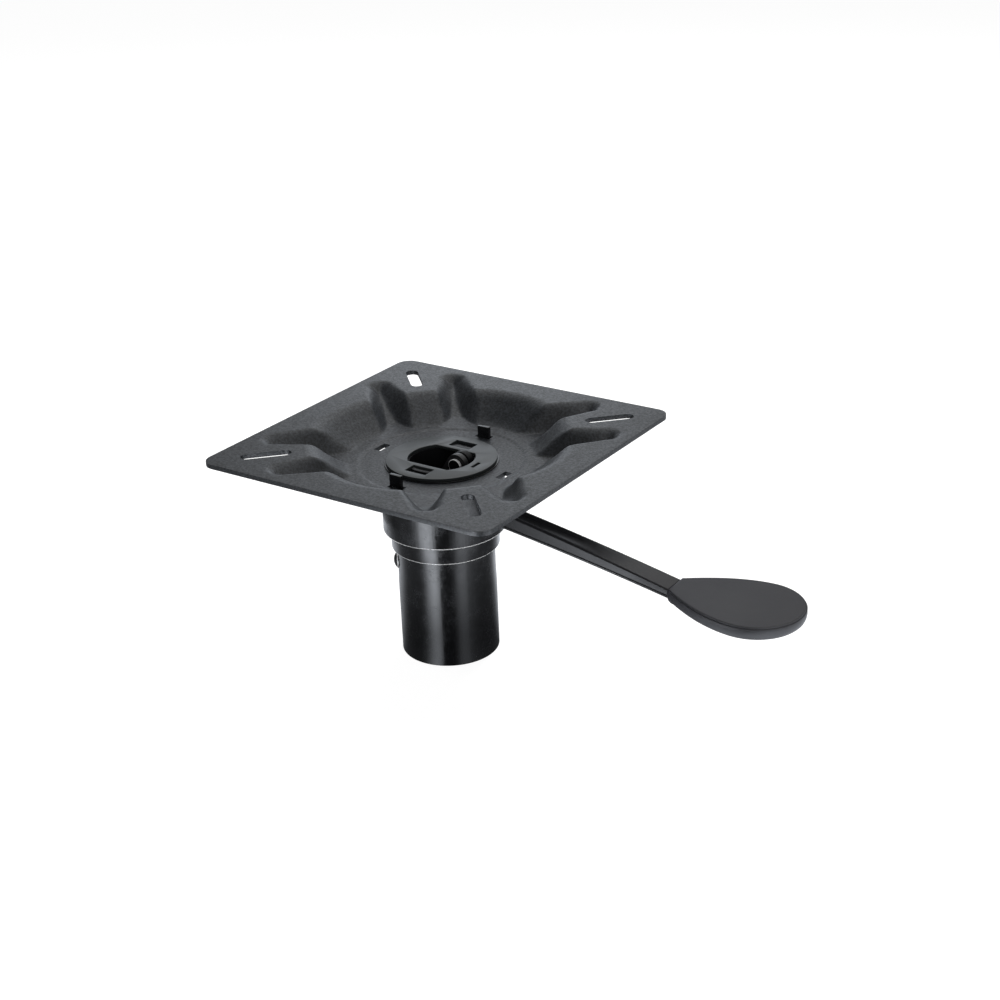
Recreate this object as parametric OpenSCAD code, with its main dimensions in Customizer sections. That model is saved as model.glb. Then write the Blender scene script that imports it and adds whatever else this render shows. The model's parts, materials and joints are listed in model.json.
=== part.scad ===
// Swivel seat base: a pressed seat plate on a spindle that turns in a post insert,
// with a side lever that lets go of a spring-held brake inside the tube.
// Origin: centre of the lower end of the insert tube. +Z up, +X along the lever.

/* [Seat plate] */
// Side of the square seat plate
plate_side = 180; // [176:1:200]
// Sheet thickness of the seat plate
plate_t = 2.5; // [2:0.1:3]
// Radius of the plate's corners
plate_corner_r = 8; // [4:0.5:14]
// Depth of the pressed dish
dish_depth = 14.3; // [12:0.1:15]
// Radius of the dish's upper edge at the middle of each side
dish_r = 75; // [70:0.5:77]
// How much further in the dish's edge lies at the corner pads
dish_corner_cut = 3; // [0:0.5:5]
// Width of the dish's sloping wall, seen from above
dish_wall_w = 26; // [20:0.5:26]
// Height of the shallow step round the flat floor
floor_step = 0.6; // [0.3:0.1:0.9]
// Distance of each flute's tip from the plate's edge
flute_edge_gap = 5.5; // [3:0.5:8]
// Radius of a flute's rounded tip
flute_r = 9; // [6:0.5:10]
// Distance of each flute's tip centre from the nearer middle line
flute_side = 45.5; // [43:0.5:48]
// Depth of a flute at its tip
flute_tip_depth = 6; // [3:0.5:8]
// Distance of each bolt slot's centre from the two nearer edges of the plate
slot_edge_gap = 24.5; // [20:0.5:28]
// Length of a bolt slot from end to end
slot_len = 27; // [18:0.5:30]
// Width of a bolt slot
slot_w = 7; // [5:0.5:9]
// Distance of the four small floor slots from the collar's outer face
tab_slot_reach = 6.5; // [6:0.1:7.5]
// Free length of a floor slot beside its clip tab
tab_play = 2.2; // [0.7:0.1:3]
// Width of a floor slot along the radius
tab_slot_t = 4.5; // [4:0.1:5]

/* [Hub disc] */
// Thickness of the hub disc
hub_disc_t = 1.7; // [1.5:0.1:3]
// Width of the disc's rim past the round ends of its opening
hub_rim_w = 11.75; // [10:0.25:13]
// Length of the opening in the hub disc, round ends included
hub_open_len = 36.5; // [33:0.5:37]
// Width of that opening between its flats
hub_open_w = 26; // [25:0.5:28]
// Play of a lug in its hole, on each side
lug_play = 0.5; // [0.1:0.1:1]
// How far the thin washer under the disc shows past it
hub_washer_lip = 0.75; // [0.25:0.25:1.5]
// Thickness of that washer
hub_washer_t = 0.6; // [0.4:0.1:1]

/* [Collar] */
// Room between the stop ring and the collar
collar_gap = 1.8; // [1:0.1:2.5]
// Wall of the collar
collar_wall = 2.2; // [1.6:0.1:2.4]
// How far the collar reaches down past the tube's upper end
collar_lap = 5; // [2:0.5:8]
// Width of each clip tab that comes up through the plate
tab_w = 7.3; // [5:0.1:7.6]
// Thickness of a clip tab
tab_t = 2; // [1.5:0.1:2.4]
// Height of a clip tab above the dish floor
tab_rise = 6.5; // [4:0.5:9]
// Width of the lever's windows in the collar and the spindle
window_w = 14; // [13:0.5:16]

/* [Insert tube] */
// Outer diameter of the insert tube
insert_od = 54; // [53.5:0.1:54.5]
// Wall of the insert tube
insert_wall = 2.5; // [2:0.1:2.9]
// How much smaller in radius the tube is at and above the snap button
relief_t = 0.3; // [0.2:0.1:0.5]
// Distance from the snap button down to the tube's full-size part, which guides it in the post
guide_gap = 0.5; // [0.5:0.5:4]
// Distance from the snap button up to the stop ring, where the post ends
stop_gap = 4.1; // [3:0.1:6]
// How far the stop ring stands out from the tube
stop_rise = 2.5; // [1.5:0.1:3]
// Length of the stop ring
stop_len = 14; // [12:0.5:15]
// Radius of the edges of the collar and the stop ring
edge_r = 0.8; // [0.4:0.1:1]

/* [Snap button] */
// Diameter of the snap button
button_d = 9.4; // [8:0.1:10]
// Height of the button's dome above the tube
button_rise = 2; // [1.6:0.1:2.1]
// Distance from the lower bushing up to the flange of the button
button_gap = 3.5; // [1:0.1:6]
// Direction of the button, from the lever's side
button_angle = 218.7; // [200:0.1:240]

/* [Spindle and bearings] */
// Outer diameter of the spindle tube
spindle_od = 40; // [39.6:0.1:40.2]
// Wall of the spindle tube
spindle_wall = 2.5; // [2:0.1:2.8]
// Length of the spindle below the circlip's groove
spindle_tail = 2.75; // [1.5:0.05:4]
// Width of the lugs that hold the hub disc
lug_w = 12.5; // [9:0.5:13]
// Length of the upper bushing below its flange
upper_bush_len = 18; // [14:0.5:18.5]
// Thickness of the upper bushing's flange
bush_flange_t = 2; // [1.5:0.1:2.5]
// Length of the lower bushing
lower_bush_len = 12; // [8:0.5:13]
// Height of the thrust ring
thrust_ring_h = 3; // [2:0.1:3.2]
// Thickness of the retaining washer
retainer_t = 1.7; // [1.2:0.1:2]
// Thickness of the circlip
circlip_t = 1.5; // [1.2:0.1:1.8]
// Depth of the circlip's groove
circlip_groove = 0.8; // [0.5:0.1:1.2]

/* [Lever] */
// Distance of the lever's pivot from the spindle's axis
pivot_x = 8.2; // [7.8:0.1:8.6]
// Depth of the pivot below the plate's top face
pivot_drop = 15.7; // [15.2:0.1:16.6]
// Radius of the lever's boss
boss_r = 6; // [5:0.1:6.4]
// Diameter of the pivot pin
pin_d = 5; // [4:0.1:6]
// Thickness of the lever's cheek plate
cheek_t = 3.4; // [3:0.1:3.5]
// Offset of the near face of the cheek plate from the middle
cheek_y = 1.6; // [1.4:0.1:1.8]
// Thickness of the spacer washer between the cheek plate and the bracket's ear
spacer_t = 1; // [0.9:0.1:1.2]
// Radius of the lever's cam nose
nose_r = 4; // [3:0.1:4.5]
// Width of the arm where it leaves the collar
arm_w_root = 11.7; // [10:0.1:12.4]
// Width of the arm at the paddle
arm_w_tip = 14.6; // [11:0.1:15]
// Height of the arm's section at the collar
arm_h_root = 8.6; // [7:0.1:8.8]
// Height of the arm's section at the paddle
arm_h_tip = 4.6; // [4:0.1:5.5]
// Depth of the arm's top face below the plate's top face, at the collar
arm_drop = 32.3; // [32:0.1:33]
// Downward slope of the arm at the collar, in degrees
arm_slope = 9; // [8:0.1:10]
// Further drop of the arm's tip through its downward bend
arm_bend_drop = 3.1; // [0:0.1:5]
// Depth of the groove along the arm's top
arm_groove = 1.2; // [0.4:0.1:1.6]
// Distance of the paddle's neck from the spindle's axis
neck_x = 141.5; // [125:0.5:150]
// Length of the paddle
paddle_len = 70.5; // [60:0.5:80]
// Width of the paddle
paddle_w = 51; // [40:0.5:56]
// Width of the paddle's neck
paddle_neck_w = 15; // [14.6:0.1:18]
// Thickness of the paddle
paddle_t = 8; // [7:0.1:9]
// Length of the arm's tongue inside the paddle
tongue_len = 28; // [18:0.5:36]
// Thickness of that tongue
tongue_t = 3.2; // [2:0.1:3.6]

/* [Brake] */
// Diameter of the draw rod
rod_d = 6; // [5:0.1:6.4]
// Diameter of the draw rod's head
rod_head_d = 12.2; // [11.8:0.1:12.4]
// Thickness of that head
rod_head_t = 2; // [1.5:0.1:3]
// Height of the draw rod's lower end inside the tube
rod_bottom = 4; // [3:0.1:6]
// Length of the draw rod below its nut
rod_tip = 1.3; // [1:0.1:3]
// Length of the brake collet
collet_len = 13; // [12:0.1:14]
// Radius of the collet's tapered bore at its mouth
collet_bore_r = 15; // [14:0.1:16]
// Radius of that bore at its upper end
collet_neck_r = 10; // [9:0.1:11]
// Thickness of the collet's upper web
collet_web = 3; // [2.5:0.1:3.5]
// Number of fingers of the collet
collet_fingers = 6; // [4:1:8]
// Thickness of the pivot bracket's base
bracket_base_t = 2; // [1.5:0.1:3]
// Thickness of the pivot bracket's ear
bracket_ear_t = 4; // [3:0.1:4.2]
// Length of the return spring
spring_len = 14.8; // [13:0.1:16]
// Mean diameter of the return spring
spring_d = 9.4; // [8.4:0.1:9.8]
// Diameter of the spring's wire
spring_wire = 1.2; // [0.8:0.1:1.4]

/* [Hidden] */

$fn = 96;

// Clearances
run_gap = 0.05;      // radial play of a shaft in its bearing
slide_gap = 0.3;     // play of pieces that pass each other
cam_gap = 0.15;      // play between the cam nose and the draw rod's head
cheek_gap = 0.2;     // play on each side of the lever's cheek plate
arm_gap = 0.55;      // room between the thrust ring and the arm at the collar
window_gap = 1;      // room under the arm in the two windows
through = 1;         // how far a cutter reaches past the face that it cuts

// Colours, as the photograph shows them
coat = "#3d4043";
gloss = "#17191b";
satin = "#2b2d2f";
phosphate = "#1f2022";
mould = "#3a3b3e";
nylon = "#e4e0d3";
zinc = "#b9bcc0";
bronze = "#a98247";

// Heights inside the insert tube, from the draw rod's end up to the snap button
cone_washer_t = 1.2;
nut_t = 5;
cone_drop = 1.5;     // how far the cone stands out below the collet
button_r = button_d / 2;
button_flange_r = button_r + 1.5;
nut_z = rod_bottom + rod_tip;
cone_bottom = nut_z + nut_t + cone_washer_t;
collet_bottom = cone_bottom + cone_drop;
collet_top = collet_bottom + collet_len;
spindle_bottom = collet_top;
circlip_z = spindle_bottom + spindle_tail;
retainer_z = circlip_z + circlip_t;
lower_bush_z = retainer_z + retainer_t + run_gap;
button_z = lower_bush_z + lower_bush_len + button_gap + button_flange_r;

// Heights above the snap button, up to the seat plate
guide_len = button_z - button_r - guide_gap;
stop_bottom = button_z + button_r + stop_gap;
insert_len = button_z + button_flange_r + 0.1 + upper_bush_len;
collar_bottom = insert_len - collar_lap;
bush_flange_top = insert_len + bush_flange_t;
thrust_z = bush_flange_top + run_gap;
arm_z0 = thrust_z + thrust_ring_h + arm_gap + arm_h_root;   // the arm's top face at the collar
seat_height = arm_z0 + arm_drop;
floor_top = seat_height - dish_depth;
floor_bottom = floor_top - plate_t;
disc_bottom = floor_top + hub_washer_t;
spindle_top = disc_bottom;

// Radii, from the insert tube outwards and inwards
insert_r = insert_od / 2;
insert_bore_r = insert_r - insert_wall;
seat_r = insert_r - relief_t;
spindle_r = spindle_od / 2;
spindle_bore_r = spindle_r - spindle_wall;
bush_bore_r = spindle_r + run_gap;
circlip_r = spindle_r + 2.5;
stop_r = insert_r + stop_rise;
collar_bore_r = stop_r + collar_gap;
collar_r = collar_bore_r + collar_wall;
hub_disc_d = hub_open_len + 2 * hub_rim_w;
hub_washer_d = hub_disc_d + 2 * hub_washer_lip;

// Seat plate
half = plate_side / 2;
slot_at = half - slot_edge_gap;
tab_slot_r = collar_r + tab_slot_reach;
tab_slot_w = tab_w + tab_play;
tab_turn = atan((tab_play / 2 - slide_gap) / tab_slot_r);   // the collar's turn up to the slots' ends
flute_tip = half - flute_edge_gap - flute_r;
flute_dir = 39;          // direction of a flute's axis, in degrees from its middle line
flute_spread = 0.167;    // growth of a flute's half width for each unit of its length
flute_wall_w = 11;       // width of a flute's side wall, seen from above
flute_run = 32;          // length over which a flute reaches the dish's depth
blend = 8;               // softness of the line where flute and dish meet
blend_start = 6;         // depth from which that line has its full softness
step_inset = 2;          // distance of the shallow step round the floor from the ramps' feet
step_r = dish_r - dish_corner_cut - dish_wall_w - step_inset;
step_w = 1.5;            // width of that step
ring_inner_r = 17;       // inner edge of the pressed sheet before it is bored
sheet_margin = 3;        // width that is trimmed off round the pressed sheet
sheet_rings = 15;
octant_angles = [
    0, 6.5, 13, 19, 21.5, 23.5, 25.5, 27.5, 29.5, 31.5, 33.5, 35.5, 37.5, 39.5, 41.5, 43.5
];

// Lever
pivot_z = seat_height - pivot_drop;
pin_r = pin_d / 2;
arm_x0 = 15;                            // inner end of the arm's straight part
arm_run = neck_x - collar_r;
arm_bend = arm_bend_drop / (arm_run * arm_run);
groove_end = 105;                       // where the groove along the arm runs out
groove_share = 0.62;                    // the groove's share of the arm's width
lip = 0.5;                              // width of the small lip along the arm's lower edge
nose_x = pivot_x - 8.6;
nose_z = pivot_z - 9.4;
head_top = nose_z - nose_r - cam_gap;
head_bottom = head_top - rod_head_t;
cheek_far = cheek_y + cheek_t;
ear_y = cheek_far + cheek_gap + spacer_t;
pin_head_t = 1.6;
pin_head_r = pin_r + 1.3;
clip_t = 1;
clip_r = pin_r + 1.5;
paddle_top = arm_top(neck_x) + 0.6;
paddle_round_x = neck_x + paddle_len - paddle_w / 2;
tongue_w = 10;
tongue_z = paddle_top - 1.4 - tongue_t;

// Brake
rod_r = rod_d / 2;
base_top = head_bottom - spring_len;
base_bottom = base_top - bracket_base_t;
collet_r = insert_bore_r - 0.15;
collet_slit = 1.2;
bore_len = collet_len - collet_web;
cone_gap = 0.25;
cone_top = collet_top - collet_web - 2;
cone_washer_r = 7;
nut_flats = 10;
spring_turns = 6;

// Snap button
button_flange_t = 0.8;
button_seat = sqrt(pow(insert_bore_r - 0.1, 2) - pow(button_flange_r, 2));
leaf_t = 0.45;
leaf_w = 8;
leaf_half_angle = 55;

// Smooth step from 0 at t = 0 to 1 at t = 1
function smooth(t) = let (c = min(max(t, 0), 1)) c * c * (3 - 2 * c);
// The larger of two depths, with a soft line where they cross
function soft_max(a, b) =
    let (deep = max(a, b), k = blend * smooth(deep / blend_start), h = max(k - abs(a - b), 0))
    k > 0 ? deep + h * h / (4 * k) : deep;
// Depth of the round dish at one point
function dish_at(x, y) =
    let (edge = dish_r - dish_corner_cut * (1 - cos(4 * atan2(y, x))) / 2)
    dish_depth * smooth((edge - norm([x, y])) / dish_wall_w);
// Depth of one flute, in the octant where a is the larger coordinate
function flute_at(a, b) =
    let (
        da = flute_tip - a,
        db = flute_side - b,
        along = da * cos(flute_dir) + db * sin(flute_dir),
        across = abs(-da * sin(flute_dir) + db * cos(flute_dir)),
        side = along > 0 ? flute_r + flute_spread * along - across : flute_r - norm([da, db]),
        deep = flute_tip_depth + (dish_depth - flute_tip_depth) * smooth(along / flute_run)
    )
    min(deep, dish_depth) * smooth(side / flute_wall_w);
// Depth of the pressed relief at one point of the plate
function relief(x, y) =
    let (
        a = max(abs(x), abs(y)),
        b = min(abs(x), abs(y)),
        lowest = dish_depth - floor_step * smooth((norm([x, y]) - step_r) / step_w)
    )
    min(lowest, soft_max(dish_at(x, y), flute_at(a, b)));
// Upward normal of the relief
function relief_normal(x, y) =
    let (
        e = 0.4,
        gx = (relief(x + e, y) - relief(x - e, y)) / (2 * e),
        gy = (relief(x, y + e) - relief(x, y - e)) / (2 * e),
        n = [gx, gy, 1]
    )
    n / norm(n);

// Heights of the arm's top and bottom faces at a distance x from the spindle's axis
function arm_share(x) = min(max((x - collar_r) / arm_run, 0), 1);
function arm_top(x) =
    let (u = x - collar_r) arm_z0 - tan(arm_slope) * u - arm_bend * max(u, 0) * max(u, 0);
function arm_height(x) = arm_h_root + (arm_h_tip - arm_h_root) * arm_share(x);
function arm_bottom(x) = arm_top(x) - arm_height(x);
function arm_width(x) = arm_w_root + (arm_w_tip - arm_w_root) * arm_share(x);
// Half width of the paddle at a distance x from the spindle's axis
function paddle_half(x) =
    let (u = (x - neck_x) / (paddle_round_x - neck_x))
    paddle_neck_w / 2 + (paddle_w - paddle_neck_w) / 2 * (1 - pow(1 - min(max(u, 0), 1), 1.8));

// A ring with square edges
module ring(r_out, r_in, z, h) {
    translate([0, 0, z])
        difference() {
            cylinder(r = r_out, h = h);
            translate([0, 0, -through]) cylinder(r = r_in, h = h + 2 * through);
        }
}

// A ring whose outer edge is rounded at its lower end
module soft_ring(r_out, r_in, z, h) {
    rotate_extrude()
        difference() {
            union() {
                translate([r_in, z + edge_r]) square([r_out - r_in, h - edge_r]);
                translate([r_in, z]) square([r_out - edge_r - r_in, edge_r + 0.01]);
                translate([r_out - edge_r, z + edge_r]) circle(r = edge_r, $fn = 32);
            }
            translate([r_in - 2 * edge_r, z - edge_r]) square([2 * edge_r, h + 2 * edge_r]);
        }
}

// The outline of a slot with round ends, along X
module slot_outline(len, w) {
    square([len - w, w], center = true);
    for (s = [-1, 1]) translate([s * (len - w) / 2, 0]) circle(d = w, $fn = 48);
}

// A square with round corners
module round_square(side, r) {
    difference() {
        square(side, center = true);
        for (k = [0:3]) rotate(90 * k) translate([side / 2 - r, side / 2 - r]) square(r + through);
    }
    for (k = [0:3]) rotate(90 * k) translate([side / 2 - r, side / 2 - r]) circle(r = r, $fn = 48);
}

// The opening through the spindle's or the collar's wall for the lever
module lever_window(x_from, x_to, top) {
    bottom = arm_bottom(x_to) - window_gap;
    translate([x_from, -window_w / 2, bottom]) cube([x_to - x_from, window_w, top - bottom]);
}

// The pressed sheet: rings of points from the floor out past the plate's edge
module pressed_sheet() {
    steps = len(octant_angles);
    angles = [
        for (k = [0:7], i = [0:steps - 1])
            k % 2 == 0 ? 45 * k + octant_angles[i]
                       : 45 * (k + 1) - (i == 0 ? 45 : octant_angles[steps - i])
    ];
    n = len(angles);
    reach = half + sheet_margin;
    wall_foot = step_r + step_w;
    inner = [ring_inner_r, step_r, wall_foot];
    edge = [for (a = angles) reach / max(abs(cos(a)), abs(sin(a)))];
    flat = [
        for (i = [-2:sheet_rings], j = [0:n - 1])
            let (r = i < 0 ? inner[i + 2] : wall_foot + (edge[j] - wall_foot) * i / sheet_rings)
            [r * cos(angles[j]), r * sin(angles[j])]
    ];
    rings = sheet_rings + 3;
    top = [for (p = flat) [p[0], p[1], seat_height - relief(p[0], p[1])]];
    under = [for (k = [0:len(flat) - 1]) top[k] - plate_t * relief_normal(flat[k][0], flat[k][1])];
    m = len(flat);
    faces = [
        for (i = [0:rings - 2], j = [0:n - 1])
            let (a = i * n + j, b = i * n + (j + 1) % n, c = a + n, d = b + n)
            each [[a, b, c], [b, d, c], [m + a, m + c, m + b], [m + b, m + c, m + d]],
        for (j = [0:n - 1])
            let (a = j, b = (j + 1) % n)
            each [[a, m + b, b], [a, m + a, m + b]],
        for (j = [0:n - 1])
            let (a = (rings - 1) * n + j, b = (rings - 1) * n + (j + 1) % n)
            each [[a, b, m + b], [a, m + b, m + a]]
    ];
    polyhedron(points = concat(top, under), faces = faces, convexity = 6);
}

module seat_plate() {
    color(coat)
        difference() {
            intersection() {
                pressed_sheet();
                translate([0, 0, floor_bottom - through])
                    linear_extrude(seat_height - floor_bottom + 2 * through)
                        round_square(plate_side, plate_corner_r);
            }
            translate([0, 0, floor_bottom - through])
                cylinder(r = spindle_r, h = plate_t + 2 * through);
            for (k = [0:3])
                rotate(90 * k) {
                    translate([tab_slot_r - tab_slot_t / 2, -tab_slot_w / 2, floor_bottom - through])
                        cube([tab_slot_t, tab_slot_w, plate_t + 2 * through]);
                    translate([slot_at, slot_at, seat_height - plate_t - through])
                        rotate(45)
                            linear_extrude(plate_t + 2 * through) slot_outline(slot_len, slot_w);
                }
        }
}

module hub_washer() {
    color(gloss) ring(hub_washer_d / 2, spindle_r, floor_top, hub_washer_t);
}

module hub_disc() {
    color(satin)
        translate([0, 0, disc_bottom])
            linear_extrude(hub_disc_t)
                difference() {
                    circle(d = hub_disc_d);
                    intersection() {
                        circle(d = hub_open_len);
                        square([hub_open_len, hub_open_w], center = true);
                    }
                    for (s = [-1, 1])
                        translate([0, s * spindle_r])
                            square([lug_w + 2 * lug_play, 8], center = true);
                    translate([hub_open_len / 2 + 3, -3.5]) square([2, 7]);
                }
}

// The drawn cup under the plate, with two tabs that come up through the floor slots
module collar() {
    tab_x = tab_slot_r + 0.2;
    color(gloss)
        difference() {
            union() {
                soft_ring(collar_r, collar_bore_r, collar_bottom, floor_bottom - collar_bottom);
                ring(collar_r - collar_wall / 2, spindle_r, floor_bottom - collar_wall, collar_wall);
                for (s = [-1, 1])
                    rotate(90 * s - tab_turn) {
                        translate([collar_r - 1, -tab_w / 2, floor_bottom - tab_t])
                            cube([tab_x - collar_r + 1, tab_w, tab_t]);
                        translate([tab_x - tab_t, -tab_w / 2, floor_bottom - tab_t])
                            cube([tab_t, tab_w, tab_t + plate_t + tab_rise]);
                    }
            }
            lever_window(collar_bore_r - 3, collar_r + through, pivot_z - 7.4);
        }
}

module insert_tube() {
    color(gloss)
        difference() {
            union() {
                ring(insert_r, insert_bore_r, 0, guide_len);
                ring(seat_r, insert_bore_r, guide_len - 0.01, insert_len - guide_len + 0.01);
            }
            rotate(button_angle)
                translate([insert_bore_r - 3, 0, button_z])
                    rotate([0, 90, 0]) cylinder(r = button_r + run_gap, h = insert_wall + 6);
        }
}

module stop_ring() {
    color(gloss) soft_ring(stop_r, seat_r, stop_bottom, stop_len);
}

module upper_bushing() {
    color(nylon)
        rotate_extrude()
            union() {
                translate([bush_bore_r, insert_len - upper_bush_len])
                    square([insert_bore_r - bush_bore_r, upper_bush_len + bush_flange_t]);
                translate([bush_bore_r, insert_len])
                    square([seat_r - bush_bore_r, bush_flange_t]);
            }
}

module lower_bushing() {
    color(nylon) ring(insert_bore_r, bush_bore_r, lower_bush_z, lower_bush_len);
}

// Turned button with a dome outside the tube and a flange inside it
module snap_button() {
    dome_r = (button_r * button_r + button_rise * button_rise) / (2 * button_rise);
    color(phosphate)
        rotate(button_angle)
            translate([0, 0, button_z])
                rotate([0, 90, 0])
                    union() {
                        translate([0, 0, button_seat - button_flange_t])
                            cylinder(r = button_flange_r, h = button_flange_t, $fn = 64);
                        translate([0, 0, button_seat - 0.01])
                            cylinder(r = button_r, h = insert_r - button_seat + 0.01, $fn = 64);
                        intersection() {
                            translate([0, 0, insert_r + button_rise - dome_r])
                                sphere(r = dome_r, $fn = 64);
                            translate([0, 0, insert_r - 0.01])
                                cylinder(r = button_r, h = button_rise + 1, $fn = 64);
                        }
                    }
}

// Curved leaf spring behind the button
module snap_leaf() {
    outer = button_seat - button_flange_t - run_gap;
    color(zinc)
        rotate(button_angle)
            translate([0, 0, button_z - leaf_w / 2])
                rotate(-leaf_half_angle)
                    rotate_extrude(angle = 2 * leaf_half_angle)
                        translate([outer - leaf_t, 0]) square([leaf_t, leaf_w]);
}

// Tube with two lugs that pass up through the hub disc
module spindle() {
    color(gloss)
        difference() {
            union() {
                ring(spindle_r, spindle_bore_r, spindle_bottom, spindle_top - spindle_bottom);
                intersection() {
                    ring(spindle_r, spindle_bore_r, spindle_top - through, through + hub_disc_t - 0.9);
                    translate([0, 0, spindle_top])
                        cube([lug_w, 3 * spindle_r, 4 * hub_disc_t + 2 * through], center = true);
                }
            }
            lever_window(spindle_bore_r - 4, spindle_r + through, pivot_z - 4.6);
            ring(spindle_r + through, spindle_r - circlip_groove, circlip_z, circlip_t);
        }
}

module thrust_ring() {
    color(zinc) ring(seat_r, spindle_r, thrust_z, thrust_ring_h);
}

module retaining_washer() {
    color(zinc) ring(insert_bore_r - slide_gap, spindle_r, retainer_z, retainer_t);
}

// Open spring ring in the spindle's groove
module circlip() {
    color(zinc)
        difference() {
            ring(circlip_r, spindle_r - circlip_groove, circlip_z, circlip_t);
            translate([-3, 0, circlip_z - through])
                cube([6, circlip_r + through, circlip_t + 2 * through]);
        }
}

// Base disc inside the spindle with one upright ear for the lever's pin
module pivot_bracket() {
    color(phosphate)
        union() {
            ring(spindle_bore_r, rod_r + run_gap, base_bottom, bracket_base_t);
            difference() {
                union() {
                    translate([pivot_x - boss_r, ear_y, base_bottom + 0.5])
                        cube([2 * boss_r, bracket_ear_t, pivot_z - base_bottom - 0.5]);
                    translate([pivot_x, ear_y, pivot_z])
                        rotate([-90, 0, 0]) cylinder(r = boss_r, h = bracket_ear_t);
                }
                translate([pivot_x, ear_y - through, pivot_z])
                    rotate([-90, 0, 0]) cylinder(r = pin_r, h = bracket_ear_t + 2 * through, $fn = 64);
            }
        }
}

// Shoulder pin with a round head on the lever's side
module pivot_pin() {
    shank_end = ear_y + bracket_ear_t + clip_t + 0.8;
    color(phosphate)
        translate([pivot_x, 0, pivot_z])
            rotate([-90, 0, 0])
                difference() {
                    union() {
                        translate([0, 0, cheek_y - cheek_gap - pin_head_t])
                            cylinder(r = pin_head_r, h = pin_head_t, $fn = 64);
                        translate([0, 0, cheek_y - cheek_gap - 0.01])
                            cylinder(r = pin_r, h = shank_end - cheek_y + cheek_gap + 0.01, $fn = 64);
                    }
                    translate([0, 0, ear_y + bracket_ear_t])
                        difference() {
                            cylinder(r = pin_r + through, h = clip_t);
                            translate([0, 0, -through])
                                cylinder(r = pin_r - 0.5, h = clip_t + 2 * through, $fn = 64);
                        }
                }
}

module pivot_spacer() {
    color(phosphate)
        translate([pivot_x, ear_y - spacer_t, pivot_z])
            rotate([-90, 0, 0])
                difference() {
                    cylinder(r = boss_r - 1, h = spacer_t, $fn = 64);
                    translate([0, 0, -through])
                        cylinder(r = pin_r, h = spacer_t + 2 * through, $fn = 64);
                }
}

module pin_clip() {
    color(zinc)
        translate([pivot_x, ear_y + bracket_ear_t, pivot_z])
            rotate([-90, 0, 0])
                difference() {
                    cylinder(r = clip_r, h = clip_t, $fn = 64);
                    translate([0, 0, -through])
                        cylinder(r = pin_r - 0.5, h = clip_t + 2 * through, $fn = 64);
                    translate([-1.5, 0, -through]) cube([3, clip_r + through, clip_t + 2 * through]);
                }
}

// Slit ring that the cone spreads against the insert tube
module brake_collet() {
    color(bronze)
        difference() {
            translate([0, 0, collet_bottom]) cylinder(r = collet_r, h = collet_len);
            translate([0, 0, collet_bottom - 0.001])
                rotate_extrude()
                    polygon([[0, 0], [collet_bore_r, 0], [collet_neck_r, bore_len], [0, bore_len]]);
            cylinder(r = rod_r + run_gap, h = collet_top + through, $fn = 64);
            for (k = [0:collet_fingers - 1])
                rotate(360 / collet_fingers * k)
                    translate([rod_r + 2, -collet_slit / 2, collet_bottom - through])
                        cube([collet_r, collet_slit, bore_len + through]);
        }
}

module brake_cone() {
    taper = (collet_bore_r - collet_neck_r) / bore_len;
    r_low = collet_bore_r - cone_gap + taper * (collet_bottom - cone_bottom);
    r_top = collet_bore_r - cone_gap - taper * (cone_top - collet_bottom);
    color(zinc)
        rotate_extrude()
            polygon([[rod_r, cone_bottom], [r_low, cone_bottom], [r_top, cone_top], [rod_r, cone_top]]);
}

module cone_washer() {
    color(zinc) ring(cone_washer_r, rod_r, cone_bottom - cone_washer_t, cone_washer_t);
}

module cone_nut() {
    color(zinc)
        translate([0, 0, nut_z])
            difference() {
                cylinder(d = nut_flats / cos(30), h = nut_t, $fn = 6);
                translate([0, 0, -through]) cylinder(r = rod_r, h = nut_t + 2 * through);
            }
}

// Long bolt that pulls the cone up into the collet
module draw_rod() {
    color(zinc)
        union() {
            translate([0, 0, rod_bottom]) cylinder(r = rod_r, h = head_bottom - rod_bottom + 0.01);
            translate([0, 0, head_bottom]) cylinder(d = rod_head_d, h = rod_head_t);
        }
}

// Coil spring between the bracket's base and the draw rod's head
module return_spring() {
    sides = 6;
    segments = 16;
    rings = spring_turns * segments;
    coil_r = spring_d / 2;
    wire_r = spring_wire / 2;
    rise = spring_len - 2 * wire_r - 0.02;
    points = [
        for (i = [0:rings], k = [0:sides - 1])
            let (
                t = 360 * i / segments,
                c = 360 * k / sides,
                r = coil_r + wire_r * cos(c),
                z = base_top + 0.01 + wire_r + rise * i / rings + wire_r * sin(c)
            )
            [r * cos(t), r * sin(t), z]
    ];
    faces = [
        for (i = [0:rings - 1], k = [0:sides - 1])
            let (a = i * sides + k, b = i * sides + (k + 1) % sides)
            each [[a, a + sides, b], [b, a + sides, b + sides]],
        [for (k = [0:sides - 1]) k],
        [for (k = [sides - 1:-1:0]) rings * sides + k]
    ];
    color(zinc) polyhedron(points = points, faces = faces, convexity = 10);
}

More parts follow.
